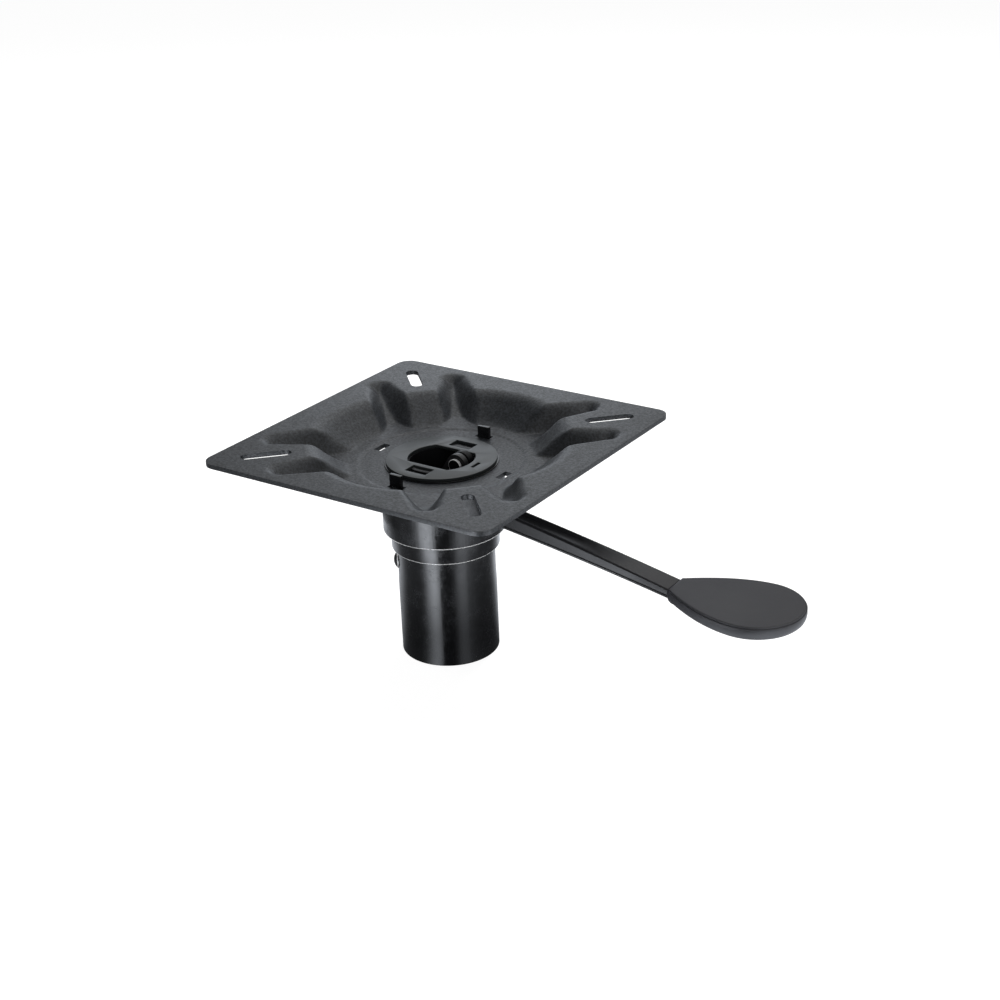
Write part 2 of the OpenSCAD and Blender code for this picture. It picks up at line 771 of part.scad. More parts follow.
// The arm's bar: sections along X, each with a small lip below and a groove above
module arm_bar() {
    stations = [
        for (x = [arm_x0, spindle_r, 27, collar_r, 45, 60, 75, 90, groove_end, 117, 129, neck_x]) x
    ];
    points = [
        for (x = stations)
            let (
                w = arm_width(x) / 2,
                t = arm_top(x),
                b = arm_bottom(x),
                g = arm_groove * smooth((groove_end - x) / 40),
                gw = w * groove_share
            )
            each [
                [x, -w, b], [x, -w, b + 1], [x, -w + lip, b + 1.4], [x, -w + lip, t - 0.7],
                [x, -w + lip + 0.7, t], [x, -gw, t], [x, -gw / 2, t - g], [x, gw / 2, t - g],
                [x, gw, t], [x, w - lip - 0.7, t], [x, w - lip, t - 0.7], [x, w - lip, b + 1.4],
                [x, w, b + 1], [x, w, b]
            ]
    ];
    per = 14;
    last = len(stations) - 1;
    faces = [
        for (i = [0:last - 1], k = [0:per - 1])
            let (a = i * per + k, b = i * per + (k + 1) % per)
            each [[a, b, a + per], [b, b + per, a + per]],
        [for (k = [per - 1:-1:0]) k],
        [for (k = [0:per - 1]) last * per + k]
    ];
    polyhedron(points = points, faces = faces, convexity = 6);
}

// Upright cheek with the pivot's boss and the cam nose
module lever_cheek() {
    nose_w = 9;
    root_x = arm_x0 + 2;
    difference() {
        union() {
            translate([0, cheek_far, 0])
                rotate([90, 0, 0])
                    linear_extrude(cheek_t)
                        union() {
                            translate([pivot_x, pivot_z]) circle(r = boss_r);
                            polygon([
                                [nose_x - nose_r * 0.72, nose_z + nose_r * 0.69],
                                [pivot_x - boss_r * 0.72, pivot_z + boss_r * 0.69],
                                [pivot_x + boss_r * 0.95, pivot_z - boss_r * 0.31],
                                [root_x + 0.5, arm_top(root_x) - 1.5],
                                [root_x, arm_bottom(root_x) + 2],
                                [arm_x0 + 0.5, arm_bottom(arm_x0) + 0.8],
                                [rod_head_d / 2 + 2, nose_z - nose_r + 0.6],
                                [nose_x + nose_r * 0.5, nose_z - nose_r * 0.866]
                            ]);
                        }
            translate([nose_x, cheek_far, nose_z])
                rotate([90, 0, 0]) cylinder(r = nose_r, h = nose_w, $fn = 64);
        }
        translate([pivot_x, cheek_y - through, pivot_z])
            rotate([-90, 0, 0]) cylinder(r = pin_r + run_gap, h = cheek_t + 2 * through, $fn = 64);
    }
}

module lever_tongue() {
    translate([neck_x - 1, -tongue_w / 2, tongue_z]) cube([tongue_len + 1, tongue_w, tongue_t]);
}

module lever_arm() {
    color(satin)
        union() {
            arm_bar();
            lever_cheek();
            lever_tongue();
        }
}

// The paddle's outline, drawn in by an even amount
module paddle_outline(inset) {
    steps = 14;
    side = [
        for (i = [0:steps - 1])
            let (x = neck_x + (paddle_round_x - neck_x) * i / steps) [x, paddle_half(x)]
    ];
    tip = [
        for (a = [90:-7.5:-90]) [paddle_round_x + paddle_w / 2 * cos(a), paddle_w / 2 * sin(a)]
    ];
    back = [for (i = [steps - 1:-1:0]) [side[i][0], -side[i][1]]];
    offset(delta = -inset) polygon(concat(side, tip, back));
}

// Moulded paddle with softened edges and a pocket for the arm's tongue
module lever_paddle() {
    low = 1.6;
    high = 0.8;
    z0 = paddle_top - paddle_t;
    color(mould)
        difference() {
            hull() {
                translate([0, 0, z0]) linear_extrude(0.01) paddle_outline(low);
                translate([0, 0, z0 + low]) linear_extrude(paddle_t - low - high) paddle_outline(0);
                translate([0, 0, paddle_top - 0.01]) linear_extrude(0.01) paddle_outline(high);
            }
            translate([neck_x - 2 * through, -tongue_w / 2, tongue_z])
                cube([tongue_len + 2 * through, tongue_w, tongue_t]);
        }
}

insert_tube();
stop_ring();
upper_bushing();
lower_bushing();
snap_button();
snap_leaf();
seat_plate();
hub_washer();
hub_disc();
collar();
spindle();
thrust_ring();
pivot_bracket();
pivot_pin();
pivot_spacer();
pin_clip();
retaining_washer();
circlip();
brake_collet();
lever_arm();
lever_paddle();
draw_rod();
brake_cone();
cone_washer();
cone_nut();
return_spring();
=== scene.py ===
# A swivel seat base: pressed seat plate, swivelling head, brake lever and post insert.
import json
import math

import bmesh
import bpy
from mathutils import Matrix, Vector

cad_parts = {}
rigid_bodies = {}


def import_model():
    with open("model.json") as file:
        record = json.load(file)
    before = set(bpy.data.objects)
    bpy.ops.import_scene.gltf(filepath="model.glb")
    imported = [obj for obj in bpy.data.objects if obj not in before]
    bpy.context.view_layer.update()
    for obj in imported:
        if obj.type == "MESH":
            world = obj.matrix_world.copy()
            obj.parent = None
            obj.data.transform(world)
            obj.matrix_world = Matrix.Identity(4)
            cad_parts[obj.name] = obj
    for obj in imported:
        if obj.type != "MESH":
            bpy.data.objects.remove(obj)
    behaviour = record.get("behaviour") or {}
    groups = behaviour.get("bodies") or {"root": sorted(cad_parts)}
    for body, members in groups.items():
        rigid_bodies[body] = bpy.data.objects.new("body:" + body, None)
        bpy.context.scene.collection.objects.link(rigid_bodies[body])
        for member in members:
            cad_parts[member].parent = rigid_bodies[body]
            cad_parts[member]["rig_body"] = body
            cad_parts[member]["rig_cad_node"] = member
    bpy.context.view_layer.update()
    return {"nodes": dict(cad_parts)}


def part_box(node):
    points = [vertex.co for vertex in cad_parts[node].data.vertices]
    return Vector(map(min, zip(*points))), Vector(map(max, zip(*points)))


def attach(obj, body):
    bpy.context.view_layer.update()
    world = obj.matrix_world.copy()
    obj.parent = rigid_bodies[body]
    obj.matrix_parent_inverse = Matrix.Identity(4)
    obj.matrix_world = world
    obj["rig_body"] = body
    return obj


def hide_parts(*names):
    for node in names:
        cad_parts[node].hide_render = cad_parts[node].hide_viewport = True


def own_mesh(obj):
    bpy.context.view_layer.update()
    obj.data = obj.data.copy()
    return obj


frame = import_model()
MM = 0.001

# Insert tube: a length of cold-drawn steel tube, cut off square, with a hole for the snap button.
# It is dip painted in a black electrocoat, which flows out glossy with a slight orange peel
# and keeps faint draw marks along the tube. From the button up it is drawn slightly smaller.


def linear(colour):
    """An sRGB hex colour as linear red, green, blue and alpha."""
    parts = [int(colour[i:i + 2], 16) / 255 for i in (1, 3, 5)]
    lin = [c / 12.92 if c <= 0.04045 else ((c + 0.055) / 1.055) ** 2.4 for c in parts]
    return (*lin, 1.0)


def add_node(material, kind, sockets=None, **settings):
    """Adds a node. Each socket takes a value, or a link from another node's output."""
    made = material.node_tree.nodes.new(kind)
    for name, value in settings.items():
        setattr(made, name, value)
    for name, value in (sockets or {}).items():
        if isinstance(value, bpy.types.NodeSocket):
            material.node_tree.links.new(value, made.inputs[name])
        else:
            made.inputs[name].default_value = value
    return made


def blank_material(name):
    """A material with an empty node tree."""
    material = bpy.data.materials.new(name)
    material.use_nodes = True
    material.node_tree.nodes.clear()
    return material


def finish_material(material, shader):
    """Sends a shader to the material's output."""
    add_node(material, "ShaderNodeOutputMaterial", {"Surface": shader})
    return material


def coat_ramp(material, fac, low, high, dark, light):
    """A colour between two shades, as a pattern goes from low to high."""
    ramp = add_node(material, "ShaderNodeValToRGB", {"Fac": fac})
    ramp.color_ramp.elements[0].position = low
    ramp.color_ramp.elements[0].color = linear(dark)
    ramp.color_ramp.elements[1].position = high
    ramp.color_ramp.elements[1].color = linear(light)
    return ramp.outputs["Color"]


def electrocoat():
    """Black cathodic electrocoat on drawn steel: deep gloss, orange peel of about 2 mm, draw marks
    and duller patches where the film is thin."""
    material = blank_material("black_electrocoat_on_steel")
    place = add_node(material, "ShaderNodeTexCoord").outputs["Object"]
    streak_place = add_node(material, "ShaderNodeMapping", {"Vector": place, "Scale": (1, 1, 0.04)})
    peel = add_node(material, "ShaderNodeTexNoise", {"Vector": place, "Scale": 420.0, "Detail": 3.0})
    patch = add_node(material, "ShaderNodeTexNoise", {
        "Vector": place, "Scale": 110.0, "Detail": 6.0, "Roughness": 0.72,
    })
    marks = add_node(material, "ShaderNodeTexNoise", {
        "Vector": streak_place.outputs["Vector"], "Scale": 900.0, "Detail": 2.0,
    })
    dull = add_node(material, "ShaderNodeMapRange", {
        "Value": patch.outputs["Fac"], "From Min": 0.42, "From Max": 0.66, "To Min": 0.1, "To Max": 0.34,
    })
    relief_sum = add_node(material, "ShaderNodeMath", {
        0: marks.outputs["Fac"], 1: 0.5, 2: peel.outputs["Fac"],
    }, operation="MULTIPLY_ADD")
    bump = add_node(material, "ShaderNodeBump", {
        "Height": relief_sum.outputs["Value"], "Strength": 0.4, "Distance": 0.05 * MM,
    })
    shader = add_node(material, "ShaderNodeBsdfPrincipled", {
        "Base Color": coat_ramp(material, patch.outputs["Fac"], 0.35, 0.7, "#0b0b0c", "#151618"),
        "Roughness": dull.outputs["Result"],
        "IOR": 1.5,
        "Normal": bump.outputs["Normal"],
    })
    return finish_material(material, shader.outputs["BSDF"])


def pale_highlight_material():
    """A pale, near-white material with fine grain and a little metal: a painted highlight for rounded
    edges, pale from all sides.
    """
    material = blank_material("painted_highlight_pale_edge")
    place = add_node(material, "ShaderNodeTexCoord").outputs["Object"]
    grain = add_node(material, "ShaderNodeTexNoise", {"Vector": place, "Scale": 700.0, "Detail": 4.0})
    dull = add_node(material, "ShaderNodeMapRange", {
        "Value": grain.outputs["Fac"], "From Min": 0.35, "From Max": 0.65, "To Min": 0.2, "To Max": 0.34,
    })
    # The near-white base colour is a painted highlight.
    shader = add_node(material, "ShaderNodeBsdfPrincipled", {
        "Base Color": coat_ramp(material, grain.outputs["Fac"], 0.35, 0.65, "#eceeef", "#fbfbfc"),
        "Metallic": 0.15,
        "Roughness": dull.outputs["Result"],
    })
    return finish_material(material, shader.outputs["BSDF"])


black_coat = electrocoat()
# Edge faces that get this material carry a painted highlight.
painted_edge_highlight = pale_highlight_material()


def select_only(piece):
    """Leaves one piece selected and active, in object mode."""
    bpy.ops.object.select_all(action="DESELECT")
    piece.select_set(True)
    bpy.context.view_layer.objects.active = piece


def pick(piece, test, kind="VERT"):
    """In edit mode, selects the corners, edges or faces whose middle passes the test."""
    bpy.ops.mesh.select_mode(type=kind)
    bpy.ops.mesh.select_all(action="DESELECT")
    shape = bmesh.from_edit_mesh(piece.data)
    parts = {"VERT": shape.verts, "EDGE": shape.edges, "FACE": shape.faces}[kind]
    for part in parts:
        if kind == "VERT":
            middle = part.co
        elif kind == "EDGE":
            middle = (part.verts[0].co + part.verts[1].co) / 2
        else:
            middle = part.calc_center_median()
        if test(middle):
            part.select_set(True)
    shape.select_flush_mode()
    bmesh.update_edit_mesh(piece.data)


def apply_modifier(piece, kind, **settings):
    """Adds a modifier and applies it."""
    select_only(piece)
    modifier = piece.modifiers.new(kind.title(), kind)
    for name, value in settings.items():
        setattr(modifier, name, value)
    bpy.ops.object.modifier_apply(modifier=modifier.name)


def turned_ring(name, inner, outer, low, high, corners, steps=192):
    """A ring of rectangular section turned round Z. Corners maps (radius, height) to a rounding."""
    bpy.ops.object.select_all(action="DESELECT")
    bpy.ops.mesh.primitive_plane_add(
        size=1, location=((inner + outer) / 2, 0, (low + high) / 2), rotation=(math.pi / 2, 0, 0)
    )
    piece = bpy.context.object
    piece.name = name
    piece.scale = (outer - inner, high - low, 1)
    bpy.ops.object.transform_apply(location=True, rotation=True, scale=True)
    bpy.ops.object.mode_set(mode="EDIT")
    for (radius, height), rounding in corners.items():
        corner = Vector((radius, 0, height))
        pick(piece, lambda middle: (middle - corner).length < 0.02 * MM)
        bpy.ops.mesh.bevel(
            affect="VERTICES", offset=rounding, offset_type="WIDTH", segments=5, clamp_overlap=False
        )
    bpy.ops.mesh.select_all(action="SELECT")
    bpy.ops.mesh.delete(type="ONLY_FACE")
    bpy.ops.mesh.select_all(action="SELECT")
    bpy.ops.mesh.spin(steps=steps, angle=2 * math.pi, center=(0, 0, 0), axis=(0, 0, 1))
    bpy.ops.mesh.select_all(action="SELECT")
    bpy.ops.mesh.remove_doubles(threshold=0.002 * MM)
    bpy.ops.mesh.normals_make_consistent(inside=False)
    bpy.ops.object.mode_set(mode="OBJECT")
    return piece


def smooth_shade(piece, angle=35):
    """Smooth shading, with creases where faces meet at more than the angle."""
    select_only(piece)
    bpy.ops.object.shade_smooth_by_angle(angle=math.radians(angle))


def cut_out(piece, cutter):
    """Cuts the space of one mesh out of another, and removes the cutter."""
    apply_modifier(piece, "BOOLEAN", operation="DIFFERENCE", solver="EXACT", object=cutter)
    bpy.data.objects.remove(cutter)


def dress(piece, body, slot_name, materials, *stands_for):
    """Gives a finished piece its materials, body and the nodes that it stands for. The slot name is not
    used.
    """
    for index, material in enumerate(materials):
        if index < len(piece.data.materials):
            piece.data.materials[index] = material
        else:
            piece.data.materials.append(material)
    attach(piece, body)
    if stands_for:
        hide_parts(*stands_for)


tube_low, tube_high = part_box("insert_tube")
tube_r = tube_high.x
tube_wall = 2.5 * MM
button_low, button_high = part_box("snap_button")
button_middle = (button_low + button_high) / 2
# From just below the button up, the tube is drawn 0.3 mm smaller in radius, over a long taper
seat_r = tube_r - 0.3 * MM
guide_top = button_middle.z - 5.2 * MM
taper_len = 9 * MM
tube = turned_ring("insert_tube_shell", tube_r - tube_wall, tube_r, tube_low.z, tube_high.z, {
    (tube_r, tube_low.z): 0.5 * MM,
    (tube_r - tube_wall, tube_low.z): 0.4 * MM,
    (tube_r, tube_high.z): 0.4 * MM,
})
select_only(tube)
bpy.ops.object.mode_set(mode="EDIT")
for height in (guide_top - taper_len, guide_top):
    bpy.ops.mesh.select_all(action="SELECT")
    bpy.ops.mesh.bisect(plane_co=(0, 0, height), plane_no=(0, 0, 1))
pick(tube, lambda middle: middle.z > guide_top - 0.1 * MM and math.hypot(middle.x, middle.y) > tube_r - MM)
bpy.ops.transform.resize(value=(seat_r / tube_r, seat_r / tube_r, 1), center_override=(0, 0, guide_top))
bpy.ops.object.mode_set(mode="OBJECT")
button_turn = math.atan2(button_middle.y, button_middle.x)
button_hole_r = 4.75 * MM
bpy.ops.mesh.primitive_cylinder_add(
    vertices=64, radius=button_hole_r, depth=12 * MM, rotation=(0, math.pi / 2, button_turn),
    location=(tube_r * math.cos(button_turn), tube_r * math.sin(button_turn), button_middle.z),
)
cut_out(tube, bpy.context.object)
smooth_shade(tube)
dress(tube, "post", "gloss_coat", [black_coat], "insert_tube")

# Stop ring: a short sleeve of the same tube stock, pressed and spot welded over the insert tube.
# It rests on the post's upper end. Its lower edge is rolled round and carries a painted highlight.


def paint_highlight_on(piece, coat, bright, test):
    """Gives a piece its coat, and the painted highlight material to the faces whose middle passes the
    test.
    """
    piece.data.materials.clear()
    piece.data.materials.append(coat)
    piece.data.materials.append(bright)
    select_only(piece)
    bpy.ops.object.mode_set(mode="EDIT")
    pick(piece, test, "FACE")
    piece.active_material_index = 1
    bpy.ops.object.material_slot_assign()
    bpy.ops.object.mode_set(mode="OBJECT")


def lower_lip(outer, low):
    """A test for the faces of a ring's rounded lower edge, which get the painted highlight."""
    reach = 1.0 * MM
    drop = 0.9 * MM
    return lambda middle: math.hypot(middle.x, middle.y) > outer - reach and middle.z < low + drop


ring_low, ring_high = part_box("stop_ring")
stop_ring = turned_ring("stop_ring_shell", seat_r, ring_high.x, ring_low.z, ring_high.z, {
    (ring_high.x, ring_low.z): 0.9 * MM,
    (ring_high.x, ring_high.z): 0.3 * MM,
})
# The stop ring's rounded lower edge gets a painted highlight.
paint_highlight_on(stop_ring, black_coat, painted_edge_highlight, lower_lip(ring_high.x, ring_low.z))
smooth_shade(stop_ring)
dress(stop_ring, "post", "gloss_coat", [black_coat, painted_edge_highlight], "stop_ring")

# Bushings and snap button: two moulded nylon bearings line the tube, the upper one with a flange
# that carries the head. A turned button on a leaf spring locks the tube in its post. It is black
# from its phosphate, with a painted highlight round its edge.


def moulded_nylon():
    """Natural nylon 6: off-white, half matt, slightly cloudy."""
    material = blank_material("nylon_natural_moulded")
    place = add_node(material, "ShaderNodeTexCoord").outputs["Object"]
    cloud = add_node(material, "ShaderNodeTexNoise", {"Vector": place, "Scale": 160.0, "Detail": 4.0})
    skin = add_node(material, "ShaderNodeTexNoise", {"Vector": place, "Scale": 1800.0, "Detail": 2.0})
    bump = add_node(material, "ShaderNodeBump", {
        "Height": skin.outputs["Fac"], "Strength": 0.2, "Distance": 0.04 * MM,
    })
    shader = add_node(material, "ShaderNodeBsdfPrincipled", {
        "Base Color": coat_ramp(material, cloud.outputs["Fac"], 0.3, 0.7, "#d6d1c0", "#e6e2d5"),
        "Roughness": 0.42,
        "IOR": 1.53,
        "Subsurface Weight": 0.12,
        "Subsurface Radius": (1.5 * MM, 1.3 * MM, 1.0 * MM),
        "Normal": bump.outputs["Normal"],
    })
    return finish_material(material, shader.outputs["BSDF"])


def plated_metal(name, dark, light, rough_low, rough_high, grain_scale, along=(1, 1, 1)):
    """A bare or plated metal with turning marks or a spangle, from dull to bright."""
    material = blank_material(name)
    place = add_node(material, "ShaderNodeTexCoord").outputs["Object"]
    turned = add_node(material, "ShaderNodeMapping", {"Vector": place, "Scale": along})
    grain = add_node(material, "ShaderNodeTexNoise", {
        "Vector": turned.outputs["Vector"], "Scale": grain_scale, "Detail": 5.0, "Roughness": 0.6,
    })
    dull = add_node(material, "ShaderNodeMapRange", {
        "Value": grain.outputs["Fac"], "From Min": 0.35, "From Max": 0.65,
        "To Min": rough_low, "To Max": rough_high,
    })
    bump = add_node(material, "ShaderNodeBump", {
        "Height": grain.outputs["Fac"], "Strength": 0.15, "Distance": 0.03 * MM,
    })
    shader = add_node(material, "ShaderNodeBsdfPrincipled", {
        "Base Color": coat_ramp(material, grain.outputs["Fac"], 0.3, 0.7, dark, light),
        "Metallic": 1.0,
        "Roughness": dull.outputs["Result"],
        "Normal": bump.outputs["Normal"],
    })
    return finish_material(material, shader.outputs["BSDF"])


def satin_paint(name, dark, light, rough, peel_mm=1.2, shine=0.5):
    """Stoved half-matt black paint on steel, with a fine even stipple. An open, oily film shines less."""
    material = blank_material(name)
    place = add_node(material, "ShaderNodeTexCoord").outputs["Object"]
    stipple = add_node(material, "ShaderNodeTexNoise", {
        "Vector": place, "Scale": 1 / (peel_mm * MM), "Detail": 3.0, "Roughness": 0.6,
    })
    drift = add_node(material, "ShaderNodeTexNoise", {"Vector": place, "Scale": 45.0, "Detail": 3.0})
    dull = add_node(material, "ShaderNodeMapRange", {
        "Value": drift.outputs["Fac"], "From Min": 0.3, "From Max": 0.7,
        "To Min": rough - 0.06, "To Max": rough + 0.06,
    })
    bump = add_node(material, "ShaderNodeBump", {
        "Height": stipple.outputs["Fac"], "Strength": 0.25, "Distance": 0.06 * MM,
    })
    shader = add_node(material, "ShaderNodeBsdfPrincipled", {
        "Base Color": coat_ramp(material, drift.outputs["Fac"], 0.3, 0.7, dark, light),
        "Roughness": dull.outputs["Result"],
        "IOR": 1.5,
        "Specular IOR Level": shine,
        "Normal": bump.outputs["Normal"],
    })
    return finish_material(material, shader.outputs["BSDF"])


# Zinc plate is a pale blue-grey with soft turning marks
zinc = plated_metal("steel_zinc_plated", "#8f9499", "#b4b9bd", 0.25, 0.42, 900.0)
# Oiled spring wire and strip are dark, drawn steel
spring_steel = plated_metal("spring_steel_oiled", "#6d6f71", "#909396", 0.22, 0.4, 1200.0)
# Manganese phosphate, oiled: nearly black and half matt, as on cheap turned pins. Its near-black is also
# painted shade where it stands on the spindle inside the hub.
black_finish_and_painted_shade = satin_paint("steel_phosphate_and_painted_shade", "#08080a", "#111113", 0.36, 0.7, 0.16)
nylon = moulded_nylon()


def fine_copy(node, name, edge, angle=30):
    """A copy of a node's mesh, merged and with its edges softened by a small bevel."""
    piece = frame["nodes"][node].copy()
    piece.data = piece.data.copy()
    piece.parent = None
    bpy.context.scene.collection.objects.link(piece)
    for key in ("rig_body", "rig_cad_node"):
        del piece[key]
    piece.name = name
    piece.data.name = name
    piece.data.materials.clear()
    select_only(piece)
    bpy.ops.mesh.customdata_custom_splitnormals_clear()
    bpy.ops.object.mode_set(mode="EDIT")
    bpy.ops.mesh.select_all(action="SELECT")
    bpy.ops.mesh.remove_doubles(threshold=0.002 * MM)
    bpy.ops.mesh.dissolve_limited(angle_limit=math.radians(0.3))
    bpy.ops.object.mode_set(mode="OBJECT")
    apply_modifier(
        piece, "BEVEL", width=edge, segments=3, limit_method="ANGLE",
        angle_limit=math.radians(angle), use_clamp_overlap=True,
    )
    smooth_shade(piece)
    return piece


def give_material(material, *nodes):
    """A material for nodes whose own shape stays."""
    for node in nodes:
        frame["nodes"][node].data.materials.clear()
        frame["nodes"][node].data.materials.append(material)


button_edge_r = 4.45 * MM
button = fine_copy("snap_button", "snap_button_turned", 0.3 * MM)
# The faces round the button's edge get a painted highlight.
paint_highlight_on(button, black_finish_and_painted_shade, painted_edge_highlight, lambda middle: math.hypot(
    (middle - button_middle).z,
    middle.x * math.sin(button_turn) - middle.y * math.cos(button_turn),
) > button_edge_r and math.hypot(middle.x, middle.y) > tube_r - 0.5 * MM)
dress(button, "snap", "black_phosphate", [black_finish_and_painted_shade, painted_edge_highlight], "snap_button")
give_material(nylon, "upper_bushing", "lower_bushing")
give_material(spring_steel, "snap_leaf")

# Seat plate: 2.5 mm steel sheet, pressed in one stroke into a dish with eight flutes that stiffen
# its rim, then pierced for the seat's bolts, the hub and the collar's tabs. It is powder coated
# in a fine-textured charcoal, which gives an even sandy grain and a soft sheen on the slopes.


def smooth(t):
    """A soft step from 0 at t = 0 to 1 at t = 1."""
    t = min(max(t, 0.0), 1.0)
    return t * t * (3 - 2 * t)


plate_low, plate_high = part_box("seat_plate")
half_side = plate_high.x / MM
sheet = 2.5
corner_r = 8.0
dish_depth = 14.3
dish_r = 75.0
dish_corner_cut = 3.0
dish_wall = 26.0
floor_step = 0.6
step_r = 44.0
step_w = 1.5
flute_tip = half_side - 14.5
flute_side = 45.5
flute_r = 9.0
flute_spread = 0.167
flute_wall = 11.0
flute_tip_depth = 6.0
flute_run = 32.0
flute_turn = math.radians(39)
bore_r = 20.0


def dish_at(x, y):
    """Depth of the round dish at one point, in millimetres."""
    edge = dish_r - dish_corner_cut * (1 - math.cos(4 * math.atan2(y, x))) / 2
    return dish_depth * smooth((edge - math.hypot(x, y)) / dish_wall)


def flute_at(a, b):
    """Depth of one flute, where a is the larger of the two coordinates."""
    da = flute_tip - a
    db = flute_side - b
    along = da * math.cos(flute_turn) + db * math.sin(flute_turn)
    across = abs(db * math.cos(flute_turn) - da * math.sin(flute_turn))
    side = flute_r + flute_spread * along - across if along > 0 else flute_r - math.hypot(da, db)
    deep = flute_tip_depth + (dish_depth - flute_tip_depth) * smooth(along / flute_run)
    return min(deep, dish_depth) * smooth(side / flute_wall)


def relief(x, y):
    """Depth of the pressing below the rim, with a soft line where a flute meets the dish."""
    dish = dish_at(x, y)
    flute = flute_at(max(abs(x), abs(y)), min(abs(x), abs(y)))
    deep = max(dish, flute)
    blend = 8.0 * smooth(deep / 6.0)
    near = max(blend - abs(dish - flute), 0.0)
    if blend > 0:
        deep += near * near / (4 * blend)
    return min(dish_depth - floor_step * smooth((math.hypot(x, y) - step_r) / step_w), deep)


def rim_point(t):
    """A point of the plate's outline, a square with round corners, for t from 0 to 1 round it."""
    straight = half_side - corner_r
    arc = corner_r * math.pi / 2
    quarter, s = divmod((t % 1.0) * 4, 1.0)
    s *= 2 * straight + arc
    if s < straight:
        x, y = half_side, s
    elif s < straight + arc:
        turn = (s - straight) / corner_r
        x = straight + corner_r * math.cos(turn)
        y = straight + corner_r * math.sin(turn)
    else:
        x, y = 2 * straight + arc - s, half_side
    for _ in range(int(quarter)):
        x, y = -y, x
    return x, y


def wrapped_grid(name, along, around, place):
    """A grid whose last row across meets its first: place(i, k) gives the point of row i, step k."""
    bpy.ops.object.select_all(action="DESELECT")
    bpy.ops.mesh.primitive_grid_add(x_subdivisions=along, y_subdivisions=around, size=1)
    piece = bpy.context.object
    piece.name = name
    for vertex in piece.data.vertices:
        i = round((vertex.co.x + 0.5) * along)
        k = round((vertex.co.y + 0.5) * around) % around
        vertex.co = place(i, k)
    bpy.ops.object.mode_set(mode="EDIT")
    bpy.ops.mesh.select_all(action="SELECT")
    bpy.ops.mesh.remove_doubles(threshold=0.001 * MM)
    bpy.ops.mesh.normals_make_consistent(inside=False)
    bpy.ops.object.mode_set(mode="OBJECT")
    return piece


plate_rings = 78
plate_steps = 440


def sheet_point(i, k):
    """A point of the pressed sheet's upper face, on a ray from the bore to the outline."""
    x, y = rim_point(k / plate_steps)
    share = bore_r / math.hypot(x, y)
    share += (1 - share) * i / plate_rings
    x, y = x * share, y * share
    return (x * MM, y * MM, plate_high.z - relief(x, y) * MM)


def block(low, high, turn=0.0, at=(0.0, 0.0)):
    """A cutter: a box from low to high, turned about Z and moved to a place."""
    bpy.ops.object.select_all(action="DESELECT")
    bpy.ops.mesh.primitive_cube_add(size=1)
    piece = bpy.context.object
    low, high = Vector(low), Vector(high)
    piece.data.transform(Matrix.Diagonal((*(high - low), 1)))
    piece.data.transform(Matrix.Translation((low + high) / 2))
    piece.data.transform(Matrix.Rotation(turn, 4, "Z"))
    piece.data.transform(Matrix.Translation((*at, 0)))
    return piece


def slot_cutter(length, width, low, high, turn, at):
    """A cutter with round ends, for a slot along X before it is turned."""
    piece = block((-length / 2, -width / 2, low), (length / 2, width / 2, high))
    bpy.ops.object.mode_set(mode="EDIT")
    pick(piece, lambda middle: abs(middle.z - (low + high) / 2) < 0.01 * MM, "EDGE")
    bpy.ops.mesh.bevel(offset=width / 2 * 0.998, offset_type="OFFSET", segments=14, affect="EDGES")
    bpy.ops.object.mode_set(mode="OBJECT")
    piece.data.transform(Matrix.Rotation(turn, 4, "Z"))
    piece.data.transform(Matrix.Translation((*at, 0)))
    return piece


def powder_coat():
    """Polyester powder coat, fine textured: grains of about 0.7 mm, drawn a little coarser so that
    they show. Crests carry a painted highlight and hollows painted shade in the colour, with a soft sheen
    over all."""
    material = blank_material("powder_coat_fine_texture")
    place = add_node(material, "ShaderNodeTexCoord").outputs["Object"]
    grain = add_node(material, "ShaderNodeTexNoise", {
        "Vector": place, "Scale": 800.0, "Detail": 3.0, "Roughness": 0.65,
    })
    drift = add_node(material, "ShaderNodeTexNoise", {"Vector": place, "Scale": 38.0, "Detail": 3.0})
    # Colour follows the bump's height: a painted highlight on the crests and painted shade in the hollows.
    crest_highlight_hollow_shade = coat_ramp(material, grain.outputs["Fac"], 0.4, 0.62, "#0c0e10", "#35383c")
    cloud = coat_ramp(material, drift.outputs["Fac"], 0.3, 0.7, "#17191b", "#222427")
    shade = add_node(material, "ShaderNodeMix", {0: 0.35, 6: crest_highlight_hollow_shade, 7: cloud}, data_type="RGBA")
    dull = add_node(material, "ShaderNodeMapRange", {
        "Value": grain.outputs["Fac"], "From Min": 0.3, "From Max": 0.7, "To Min": 0.5, "To Max": 0.36,
    })
    bump = add_node(material, "ShaderNodeBump", {
        "Height": grain.outputs["Fac"], "Strength": 0.85, "Distance": 0.16 * MM,
    })
    shader = add_node(material, "ShaderNodeBsdfPrincipled", {
        "Base Color": shade.outputs[2],
        "Roughness": dull.outputs["Result"],
        "IOR": 1.5,
        "Normal": bump.outputs["Normal"],
    })
    return finish_material(material, shader.outputs["BSDF"])


